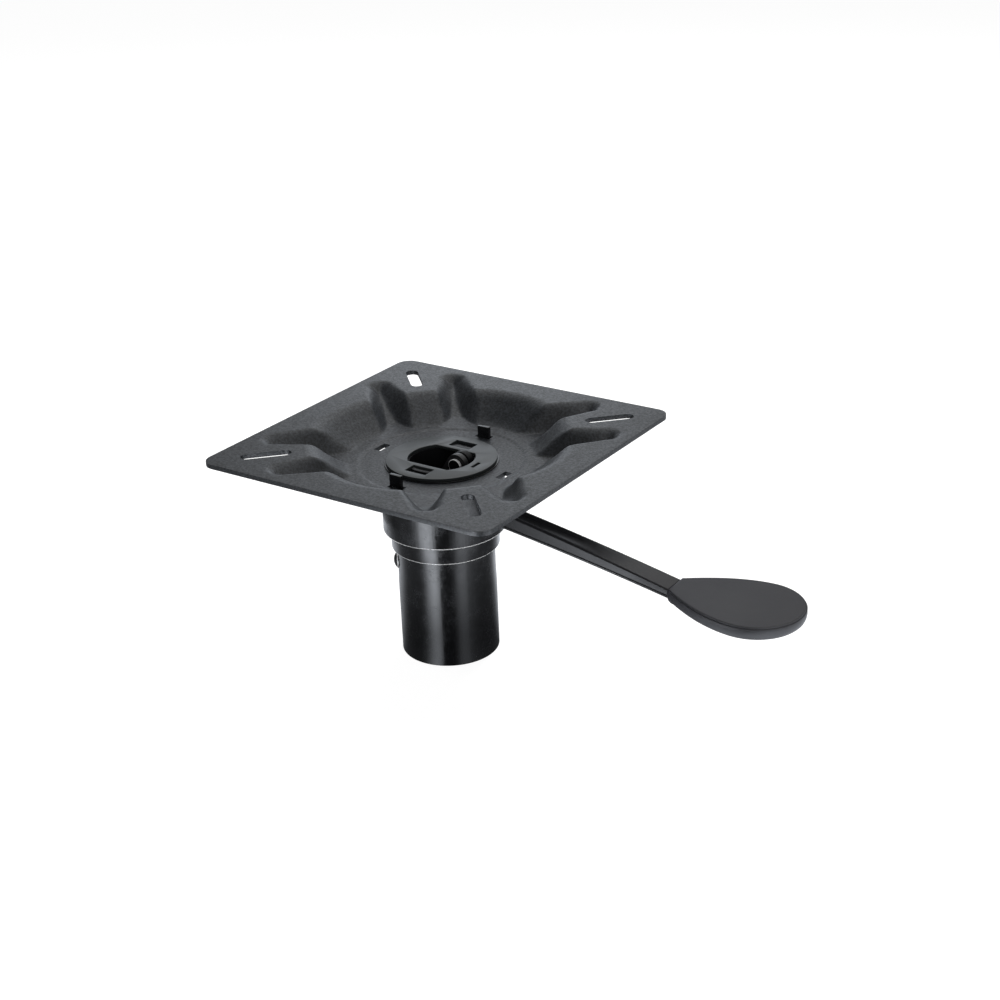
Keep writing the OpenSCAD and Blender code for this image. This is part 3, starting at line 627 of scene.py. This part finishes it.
plate = wrapped_grid("seat_plate_pressing", plate_rings, plate_steps, sheet_point)
if plate.data.polygons[0].normal.z < 0:
    plate.data.flip_normals()
apply_modifier(plate, "SOLIDIFY", thickness=sheet * MM, offset=-1, use_even_offset=True)
apply_modifier(
    plate, "BEVEL", width=0.4 * MM, segments=3, limit_method="ANGLE", angle_limit=math.radians(60),
    use_clamp_overlap=True,
)
plate_bottom = plate_low.z - MM
plate_over = plate_high.z + MM
slot_middle = 65.5 * MM
slot_length = 27 * MM
slot_width = 7 * MM
tab_slot_at = 40 * MM
tab_slot_half_across = 2.25 * MM
tab_slot_half_along = 4.75 * MM
for quarter in range(4):
    turn = quarter * math.pi / 2
    spot = Matrix.Rotation(turn, 2) @ Vector((slot_middle, slot_middle))
    slanting = turn + math.pi / 4
    cut_out(plate, slot_cutter(slot_length, slot_width, plate_bottom, plate_over, slanting, spot))
    tab_low = (tab_slot_at - tab_slot_half_across, -tab_slot_half_along, plate_bottom)
    tab_high = (tab_slot_at + tab_slot_half_across, tab_slot_half_along, plate_over)
    cut_out(plate, block(tab_low, tab_high, turn))
smooth_shade(plate, 40)
textured_coat = powder_coat()
dress(plate, "head", "powder_coat", [textured_coat], "seat_plate")

# Hub disc and washer: the disc is blanked from 1.7 mm steel, with a shaped opening for the lever's
# boss and two square holes that drop over the spindle's lugs. A thin washer lies under it.
# The disc has a half-matt black paint, thinner and smoother than the plate's powder.

disc_paint = satin_paint("stoved_paint_half_matt", "#212424", "#2a2d2e", 0.34, 1.2, 0.42)
disc = fine_copy("hub_disc", "hub_disc_blank", 0.2 * MM)
dress(disc, "head", "satin_coat", [disc_paint], "hub_disc")
washer = fine_copy("hub_washer", "hub_washer_blank", 0.1 * MM)
dress(washer, "head", "gloss_coat", [black_coat], "hub_washer")

# Collar: a cup drawn from steel tube that hides the bearing. Two of its clip tabs come up through
# the plate's floor slots. It has the same gloss electrocoat as the tube, and its rolled lower edge
# carries a painted highlight.

collar = fine_copy("collar", "collar_cup", 0.25 * MM)
collar_low, collar_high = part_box("collar")
# The collar's rounded lower edge gets a painted highlight.
paint_highlight_on(collar, black_coat, painted_edge_highlight, lower_lip(collar_high.x, collar_low.z))
dress(collar, "head", "gloss_coat", [black_coat, painted_edge_highlight], "collar")

# Spindle and bearing parts: the phosphated spindle tube is welded in and turns in the bushings; its
# near-black colour is painted shade for the dark inside of the hub.
# A hardened thrust ring carries the seat's weight, and a washer and circlip hold the spindle in.

spindle = fine_copy("spindle", "spindle_tube", 0.2 * MM)
# The spindle's near-black colour is painted shade for the shade inside the hub's opening.
dress(spindle, "head", "gloss_coat", [black_finish_and_painted_shade], "spindle")
give_material(zinc, "thrust_ring", "retaining_washer")
give_material(spring_steel, "circlip")

# Lever bearing: an ear that stands on a disc inside the spindle holds a shoulder pin with a spacer
# and a clip. All have a black phosphate except the clip, which is spring steel. The edge of the
# pin's head carries a painted highlight.

pin_edge_r = 3.45 * MM
pin = fine_copy("pivot_pin", "pivot_pin_turned", 0.3 * MM)
pin_low, pin_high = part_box("pivot_pin")
pin_middle = (pin_low + pin_high) / 2
# The edge of the pin's head gets a painted highlight.
paint_highlight_on(pin, black_finish_and_painted_shade, painted_edge_highlight, lambda middle: math.hypot(
    middle.x - pin_middle.x, middle.z - pin_middle.z
) > pin_edge_r)
dress(pin, "head", "black_phosphate", [black_finish_and_painted_shade, painted_edge_highlight], "pivot_pin")
bracket = fine_copy("pivot_bracket", "pivot_bracket_welded", 0.3 * MM)
dress(bracket, "head", "black_phosphate", [black_finish_and_painted_shade], "pivot_bracket")
give_material(black_finish_and_painted_shade, "pivot_spacer")
give_material(spring_steel, "pin_clip")

# Lever arm: a cast steel bar with a small lip along its lower edges and a groove above, which runs
# out before the paddle. Its cheek holds the pin's eye and the cam nose that pushes the draw rod.
# It is painted half matt.

arm_paint = satin_paint("cast_steel_painted", "#19191a", "#242426", 0.33, 1.0, 0.36)
arm = fine_copy("lever_arm", "lever_arm_bar", 0.35 * MM, angle=28)
dress(arm, "lever", "satin_coat", [arm_paint], "lever_arm")

# Paddle: moulded in black ABS over the arm's tongue. Its flat top ends in a narrow step all round,
# and its side falls to a rounded lower edge. The mould was spark eroded, so the skin is matt.


def moulded_abs():
    """Black ABS from a spark-eroded mould: matt, with a fine skin of about 0.5 mm, drawn coarser."""
    material = blank_material("abs_black_spark_eroded")
    place = add_node(material, "ShaderNodeTexCoord").outputs["Object"]
    skin = add_node(material, "ShaderNodeTexNoise", {
        "Vector": place, "Scale": 1100.0, "Detail": 3.0, "Roughness": 0.6,
    })
    drift = add_node(material, "ShaderNodeTexNoise", {"Vector": place, "Scale": 30.0, "Detail": 4.0})
    dull = add_node(material, "ShaderNodeMapRange", {
        "Value": drift.outputs["Fac"], "From Min": 0.3, "From Max": 0.7, "To Min": 0.44, "To Max": 0.56,
    })
    bump = add_node(material, "ShaderNodeBump", {
        "Height": skin.outputs["Fac"], "Strength": 0.6, "Distance": 0.1 * MM,
    })
    shader = add_node(material, "ShaderNodeBsdfPrincipled", {
        "Base Color": coat_ramp(material, drift.outputs["Fac"], 0.3, 0.7, "#19191d", "#232327"),
        "Roughness": dull.outputs["Result"],
        "IOR": 1.53,
        "Normal": bump.outputs["Normal"],
    })
    return finish_material(material, shader.outputs["BSDF"])


paddle_low, paddle_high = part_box("lever_paddle")
neck_x = paddle_low.x
tip_x = paddle_high.x
paddle_r = paddle_high.y
round_x = tip_x - paddle_r
neck_half = 7.5 * MM
side_curve = 1.8
side_steps = 40
tip_steps = 72


def paddle_outline():
    """The paddle's outline from its neck round the tip and back, as points on a plane."""
    side = []
    for i in range(side_steps):
        u = i / side_steps
        half_width = neck_half + (paddle_r - neck_half) * (1 - (1 - u) ** side_curve)
        side.append((neck_x + (round_x - neck_x) * u, half_width))
    tip = []
    for i in range(tip_steps + 1):
        turn = math.pi / 2 - math.pi * i / tip_steps
        tip.append((round_x + paddle_r * math.cos(turn), paddle_r * math.sin(turn)))
    back = [(x, -y) for x, y in reversed(side)]
    return side + tip + back


def inward(points):
    """Inward unit directions at the points of a closed outline that runs clockwise."""
    found = []
    for i, (x, y) in enumerate(points):
        before = Vector(points[i - 1])
        after = Vector(points[(i + 1) % len(points)])
        way = (after - before).normalized()
        found.append(Vector((way.y, -way.x)))
    return found


outline = paddle_outline()
inwards = inward(outline)
paddle_t = paddle_high.z - paddle_low.z
# How far in and how far down each row of the paddle's side lies, from its top face's edge
side_rows = [
    (2.2, 0.0), (1.3, 0.0), (0.85, 0.08), (0.6, 0.3), (0.55, 0.75), (0.15, 0.95), (0.0, 1.2),
    (0.0, 3.6), (0.25, 5.0), (0.8, 6.3), (1.7, 7.2), (2.9, 7.8), (4.0, 8.0),
]
side_depth = side_rows[-1][1]


def paddle_point(i, k):
    """A point of the paddle's skin: row i of its side at step k of its outline."""
    inset, down = side_rows[i]
    spot = Vector(outline[k]) + inwards[k] * inset * MM
    return (spot.x, spot.y, paddle_high.z - down / side_depth * paddle_t)


paddle = wrapped_grid("lever_paddle_moulding", len(side_rows) - 1, len(outline), paddle_point)
select_only(paddle)
bpy.ops.object.mode_set(mode="EDIT")
bpy.ops.mesh.select_all(action="SELECT")
bpy.ops.mesh.fill_holes(sides=0)
bpy.ops.mesh.select_all(action="SELECT")
bpy.ops.mesh.normals_make_consistent(inside=False)
bpy.ops.object.mode_set(mode="OBJECT")
smooth_shade(paddle, 40)
abs_plastic = moulded_abs()
dress(paddle, "lever", "moulded_plastic", [abs_plastic], "lever_paddle")

# Brake: the draw rod, a long bolt, pulls a cone up into a slit bronze collet, which grips the tube.
# A wire spring under the bolt's head keeps the brake on until the lever pushes the rod down.

bronze = plated_metal("bearing_bronze_turned", "#8c6a35", "#b08a4c", 0.3, 0.46, 700.0, (1, 1, 12))
give_material(bronze, "brake_collet")
rod = fine_copy("draw_rod", "draw_rod_bolt", 0.25 * MM)
dress(rod, "brake_rod", "zinc_steel", [zinc], "draw_rod")
cone = fine_copy("brake_cone", "brake_cone_turned", 0.25 * MM)
dress(cone, "brake_rod", "zinc_steel", [zinc], "brake_cone")
nut = fine_copy("cone_nut", "cone_nut_hex", 0.3 * MM)
dress(nut, "brake_rod", "zinc_steel", [zinc], "cone_nut")
give_material(zinc, "cone_washer")

spring_low, spring_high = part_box("return_spring")
wire_r = 0.6 * MM
coil_r = 4.7 * MM
spring_turns = 6
turn_steps = 28
wire_steps = 12
wire_start = spring_low.z + wire_r
wire_rise = spring_high.z - spring_low.z - 2 * wire_r


def wire_point(i, k):
    """A point on the spring's wire: ring i along it, step k round it."""
    turn = 2 * math.pi * i / turn_steps
    round_wire = 2 * math.pi * k / wire_steps
    radius = coil_r + wire_r * math.cos(round_wire)
    height = wire_start + wire_rise * i / (turn_steps * spring_turns) + wire_r * math.sin(round_wire)
    return (radius * math.cos(turn), radius * math.sin(turn), height)


spring = wrapped_grid("return_spring_coil", turn_steps * spring_turns, wire_steps, wire_point)
select_only(spring)
bpy.ops.object.mode_set(mode="EDIT")
bpy.ops.mesh.select_all(action="SELECT")
bpy.ops.mesh.fill_holes(sides=0)
bpy.ops.mesh.select_all(action="SELECT")
bpy.ops.mesh.normals_make_consistent(inside=False)
bpy.ops.object.mode_set(mode="OBJECT")
smooth_shade(spring, 60)
dress(spring, "head", "spring_steel", [spring_steel], "return_spring")
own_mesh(spring)

# Studio: a white sweep of paper, a soft light above and behind, and low ones at the left and in
# front. Cards flat on the floor, a panel behind, an overhead softbox, a pale wall and a black flag
# are seen by glossy surfaces alone, for the bright and dark bands on the gloss.

scene = bpy.context.scene
scene.view_settings.view_transform = "Standard"


def white_paper():
    """Matt white paper, which looks white to the camera and to glossy surfaces."""
    material = blank_material("studio_paper")
    path = add_node(material, "ShaderNodeLightPath").outputs
    seen = add_node(material, "ShaderNodeMath", {
        0: path["Is Camera Ray"], 1: path["Is Glossy Ray"],
    }, operation="MAXIMUM")
    seen = add_node(material, "ShaderNodeMath", {
        0: seen.outputs["Value"], 1: path["Is Transmission Ray"],
    }, operation="MAXIMUM")
    paper = add_node(material, "ShaderNodeBsdfDiffuse", {"Color": linear("#e4e4e4")})
    thin = add_node(material, "ShaderNodeBsdfDiffuse", {"Color": linear("#9a9a9a")})
    glow = add_node(material, "ShaderNodeEmission", {"Color": linear("#ffffff"), "Strength": 0.92})
    white = add_node(material, "ShaderNodeAddShader", {0: thin.outputs[0], 1: glow.outputs[0]})
    both = add_node(material, "ShaderNodeMixShader", {
        "Fac": seen.outputs["Value"], 1: paper.outputs[0], 2: white.outputs[0],
    })
    return finish_material(material, both.outputs[0])


bpy.ops.object.select_all(action="DESELECT")
bpy.ops.mesh.primitive_plane_add(size=16)
floor = bpy.context.object
floor.name = "studio_floor"
floor.data.materials.append(white_paper())


def card_pattern(name, steps, near, far, dimmed):
    """Bright and dark cards by direction, as soft-edged steps, that dim towards the object."""
    material = blank_material(name)
    place = add_node(material, "ShaderNodeTexCoord").outputs["Object"]
    axes = add_node(material, "ShaderNodeSeparateXYZ", {"Vector": place})
    turn = add_node(material, "ShaderNodeMath", {
        0: axes.outputs["Y"], 1: axes.outputs["X"],
    }, operation="ARCTAN2")
    share = add_node(material, "ShaderNodeMapRange", {
        "Value": turn.outputs["Value"], "From Min": -math.pi, "From Max": math.pi,
    })
    ramp = add_node(material, "ShaderNodeValToRGB", {"Fac": share.outputs["Result"]})
    top = max(level for _, level in steps)
    elements = ramp.color_ramp.elements
    cool_white = linear("#f2f7ff")
    # A new ramp has its two ends, so only the steps between them are added
    for degrees, _ in steps[1:-1]:
        elements.new((degrees + 180) / 360)
    for element, (_, level) in zip(elements, steps):
        element.color = (*(part * level / top for part in cool_white[:3]), 1)
    # The glow dims towards the object as a painted shadow: the object's shade on the floor, as glossy
    # surfaces see it.
    distance = add_node(material, "ShaderNodeVectorMath", {0: place}, operation="LENGTH")
    strength = add_node(material, "ShaderNodeMapRange", {
        "Value": distance.outputs["Value"], "From Min": near, "From Max": far,
        "To Min": dimmed * top, "To Max": top,
    })
    glow = add_node(material, "ShaderNodeEmission", {
        "Color": ramp.outputs["Color"], "Strength": strength.outputs["Result"],
    })
    return finish_material(material, glow.outputs["Emission"])


def hide_from_view(piece):
    """Leaves a piece of the studio to glossy surfaces only."""
    piece.visible_camera = False
    piece.visible_diffuse = False
    piece.visible_shadow = False
    piece.visible_transmission = False


# The cards' middle lies between the tube's axis and its bright side
cards_middle = (7.7 * MM, -11 * MM, 0.3 * MM)


def card_ring(name, inner, outer, material):
    """A flat ring of cards on the floor."""
    bpy.ops.object.select_all(action="DESELECT")
    bpy.ops.mesh.primitive_circle_add(
        vertices=96, radius=outer, fill_type="NGON", location=cards_middle
    )
    cards = bpy.context.object
    cards.name = name
    bpy.ops.object.mode_set(mode="EDIT")
    bpy.ops.mesh.select_all(action="SELECT")
    bpy.ops.mesh.inset(thickness=outer - inner)
    bpy.ops.mesh.delete(type="FACE")
    bpy.ops.object.mode_set(mode="OBJECT")
    cards.data.materials.append(material)
    hide_from_view(cards)


# Degrees round from +X, and how brightly the cards glow there
near_steps = [
    (-180, 1.1), (-166, 0.5), (-156, 0.3), (-130, 0.3), (-120, 0.4), (-111, 0.9), (-103, 2.9),
    (-95, 6.2), (-87, 8.2), (-79, 7.2), (-73, 3.8), (-70, 0.4), (-64, 0.15), (-46, 0.15), (-38, 0.6),
    (-30, 1.9), (-22, 2.4), (-13, 2.1), (-6, 1.1), (4, 0.7), (17, 0.4), (33, 0.25), (58, 0.25),
    (70, 0.6), (84, 1.3), (100, 1.3), (130, 0.8), (160, 1.1), (180, 1.1),
]
far_steps = [
    (-180, 0.3), (-160, 0.15), (-135, 0.3), (-122, 0.15), (-112, 0.5), (-104, 2.5), (-97, 6.5),
    (-84, 7.5), (-74, 6.0), (-68, 0.8), (-62, 0.05), (-44, 0.05), (-34, 1.0), (-24, 2.8), (-12, 3.4),
    (-2, 2.2), (12, 1.8), (34, 1.4), (56, 0.8), (80, 0.6), (110, 0.6), (158, 0.4), (180, 0.3),
]
card_ring("studio_cards_near", 12 * MM, 200 * MM, card_pattern(
    "studio_cards_by_the_tube", near_steps, 45 * MM, 150 * MM, 0.3
))
card_ring("studio_cards_far", 200 * MM, 800 * MM, card_pattern(
    "studio_cards_by_the_collar", far_steps, 150 * MM, 260 * MM, 0.8
))


def backdrop_panel():
    """A lit panel with a soft edge: brightest low down in its middle."""
    material = blank_material("studio_backdrop_panel")
    place = add_node(material, "ShaderNodeTexCoord").outputs["Object"]
    off = add_node(material, "ShaderNodeVectorMath", {0: place}, operation="LENGTH")
    strength = add_node(material, "ShaderNodeMapRange", {
        "Value": off.outputs["Value"], "From Min": 0.0, "From Max": 0.3, "To Min": 1.5, "To Max": 0.0,
    }, interpolation_type="SMOOTHSTEP")
    glow = add_node(material, "ShaderNodeEmission", {
        "Color": linear("#edf4fd"), "Strength": strength.outputs["Result"],
    })
    clear = add_node(material, "ShaderNodeBsdfTransparent")
    both = add_node(material, "ShaderNodeAddShader", {0: glow.outputs[0], 1: clear.outputs[0]})
    return finish_material(material, both.outputs[0])


panel_at = Vector((-0.24, 0.38, 0.2))
panel_turn = math.atan2(panel_at.y, panel_at.x) + math.pi / 2
bpy.ops.object.select_all(action="DESELECT")
bpy.ops.mesh.primitive_plane_add(
    size=0.62, location=panel_at, rotation=(math.pi / 2, 0, panel_turn)
)
panel = bpy.context.object
panel.name = "studio_backdrop_panel"
panel.data.materials.append(backdrop_panel())
hide_from_view(panel)

world = bpy.data.worlds.new("studio_air")
scene.world = world
world.use_nodes = True
world.node_tree.nodes.clear()
world_path = add_node(world, "ShaderNodeLightPath").outputs
direction = add_node(world, "ShaderNodeTexCoord").outputs["Generated"]
# A large overhead softbox, a little behind the object, fades towards the horizon
overhead = add_node(world, "ShaderNodeVectorMath", {
    0: direction, 1: (-0.03, 0.34, 0.94),
}, operation="DOT_PRODUCT")
softbox = add_node(world, "ShaderNodeMapRange", {
    "Value": overhead.outputs["Value"], "From Min": 0.52, "From Max": 0.92, "To Min": 0.0, "To Max": 1.05,
}, interpolation_type="SMOOTHSTEP")
# A black flag shades it on the left and in front
flag_way = add_node(world, "ShaderNodeVectorMath", {
    0: direction, 1: (0.707, 0.707, 0),
}, operation="DOT_PRODUCT")
flag = add_node(world, "ShaderNodeMapRange", {
    "Value": flag_way.outputs["Value"], "From Min": -0.38, "From Max": -0.02, "To Min": 0.0, "To Max": 1.0,
}, interpolation_type="SMOOTHSTEP")
# A pale wall behind the camera, so that the object also reads from behind
front_way = add_node(world, "ShaderNodeVectorMath", {
    0: direction, 1: (0.574, -0.819, 0),
}, operation="DOT_PRODUCT")
front_wall = add_node(world, "ShaderNodeMapRange", {
    "Value": front_way.outputs["Value"], "From Min": 0.2, "From Max": 0.75, "To Min": 0.0, "To Max": 0.55,
}, interpolation_type="SMOOTHSTEP")
lit = add_node(world, "ShaderNodeMath", {0: softbox.outputs["Result"], 1: front_wall.outputs["Result"]})
backdrop = add_node(world, "ShaderNodeMath", {
    0: lit.outputs["Value"], 1: flag.outputs["Result"], 2: 0.1,
}, operation="MULTIPLY_ADD")
direct = add_node(world, "ShaderNodeMath", {
    0: world_path["Is Camera Ray"], 1: world_path["Is Transmission Ray"],
}, operation="MAXIMUM")
level = add_node(world, "ShaderNodeMix", {
    0: direct.outputs["Value"], 2: backdrop.outputs["Value"], 3: 1.0,
}, data_type="FLOAT")
diffuse_level = add_node(world, "ShaderNodeMix", {
    0: world_path["Is Diffuse Ray"], 2: level.outputs[0], 3: 0.12,
}, data_type="FLOAT")
air = add_node(world, "ShaderNodeBackground", {
    "Color": linear("#ffffff"), "Strength": diffuse_level.outputs[0],
})
add_node(world, "ShaderNodeOutputWorld", {"Surface": air.outputs["Background"]})


def soft_light(name, place, aim, size, watts):
    """A square softbox that faces a point. Glossy surfaces see the backdrop instead of it."""
    lamp = bpy.data.lights.new(name, "AREA")
    lamp.shape = "SQUARE"
    lamp.size = size
    lamp.energy = watts
    holder = bpy.data.objects.new(name, lamp)
    scene.collection.objects.link(holder)
    holder.location = place
    holder.rotation_euler = (Vector(aim) - Vector(place)).to_track_quat("-Z", "Y").to_euler()
    holder.visible_glossy = False


plate_middle = (0, 0, plate_high.z)
soft_light("back_softbox", (-0.25, 0.85, 1.15), plate_middle, 0.6, 20)
soft_light("left_softbox", (-1.1, -0.1, 0.75), plate_middle, 0.7, 2)
soft_light("front_softbox", (0.9, -1.2, 0.5), plate_middle, 0.8, 7)

# Camera: a 65 mm lens at about 1 m, 24 degrees above the plate, a little rolled.

camera_turn = math.radians(34.87)
camera_rise = math.radians(24.0)
camera_roll = math.radians(-2.26)
camera_far = 0.9562
focal_px = 1798.35
frame_px = 1000
plate_px = (440.4, 436.2)
sensor = 36.0
back = Vector((
    math.sin(camera_turn) * math.cos(camera_rise),
    -math.cos(camera_turn) * math.cos(camera_rise),
    math.sin(camera_rise),
))
level_right = Vector((math.cos(camera_turn), math.sin(camera_turn), 0))
level_up = back.cross(level_right)
right = level_right * math.cos(camera_roll) + level_up * math.sin(camera_roll)
up = level_up * math.cos(camera_roll) - level_right * math.sin(camera_roll)
off_right = (plate_px[0] - frame_px / 2) * camera_far / focal_px
off_up = -(plate_px[1] - frame_px / 2) * camera_far / focal_px
lens = bpy.data.cameras.new("camera")
lens.sensor_width = sensor
lens.lens = focal_px / frame_px * sensor
camera = bpy.data.objects.new("camera", lens)
scene.collection.objects.link(camera)
turned = Matrix((right, up, back)).transposed().to_4x4()
stand = Vector(plate_middle) + back * camera_far - right * off_right - up * off_up
camera.matrix_world = Matrix.Translation(stand) @ turned
scene.camera = camera
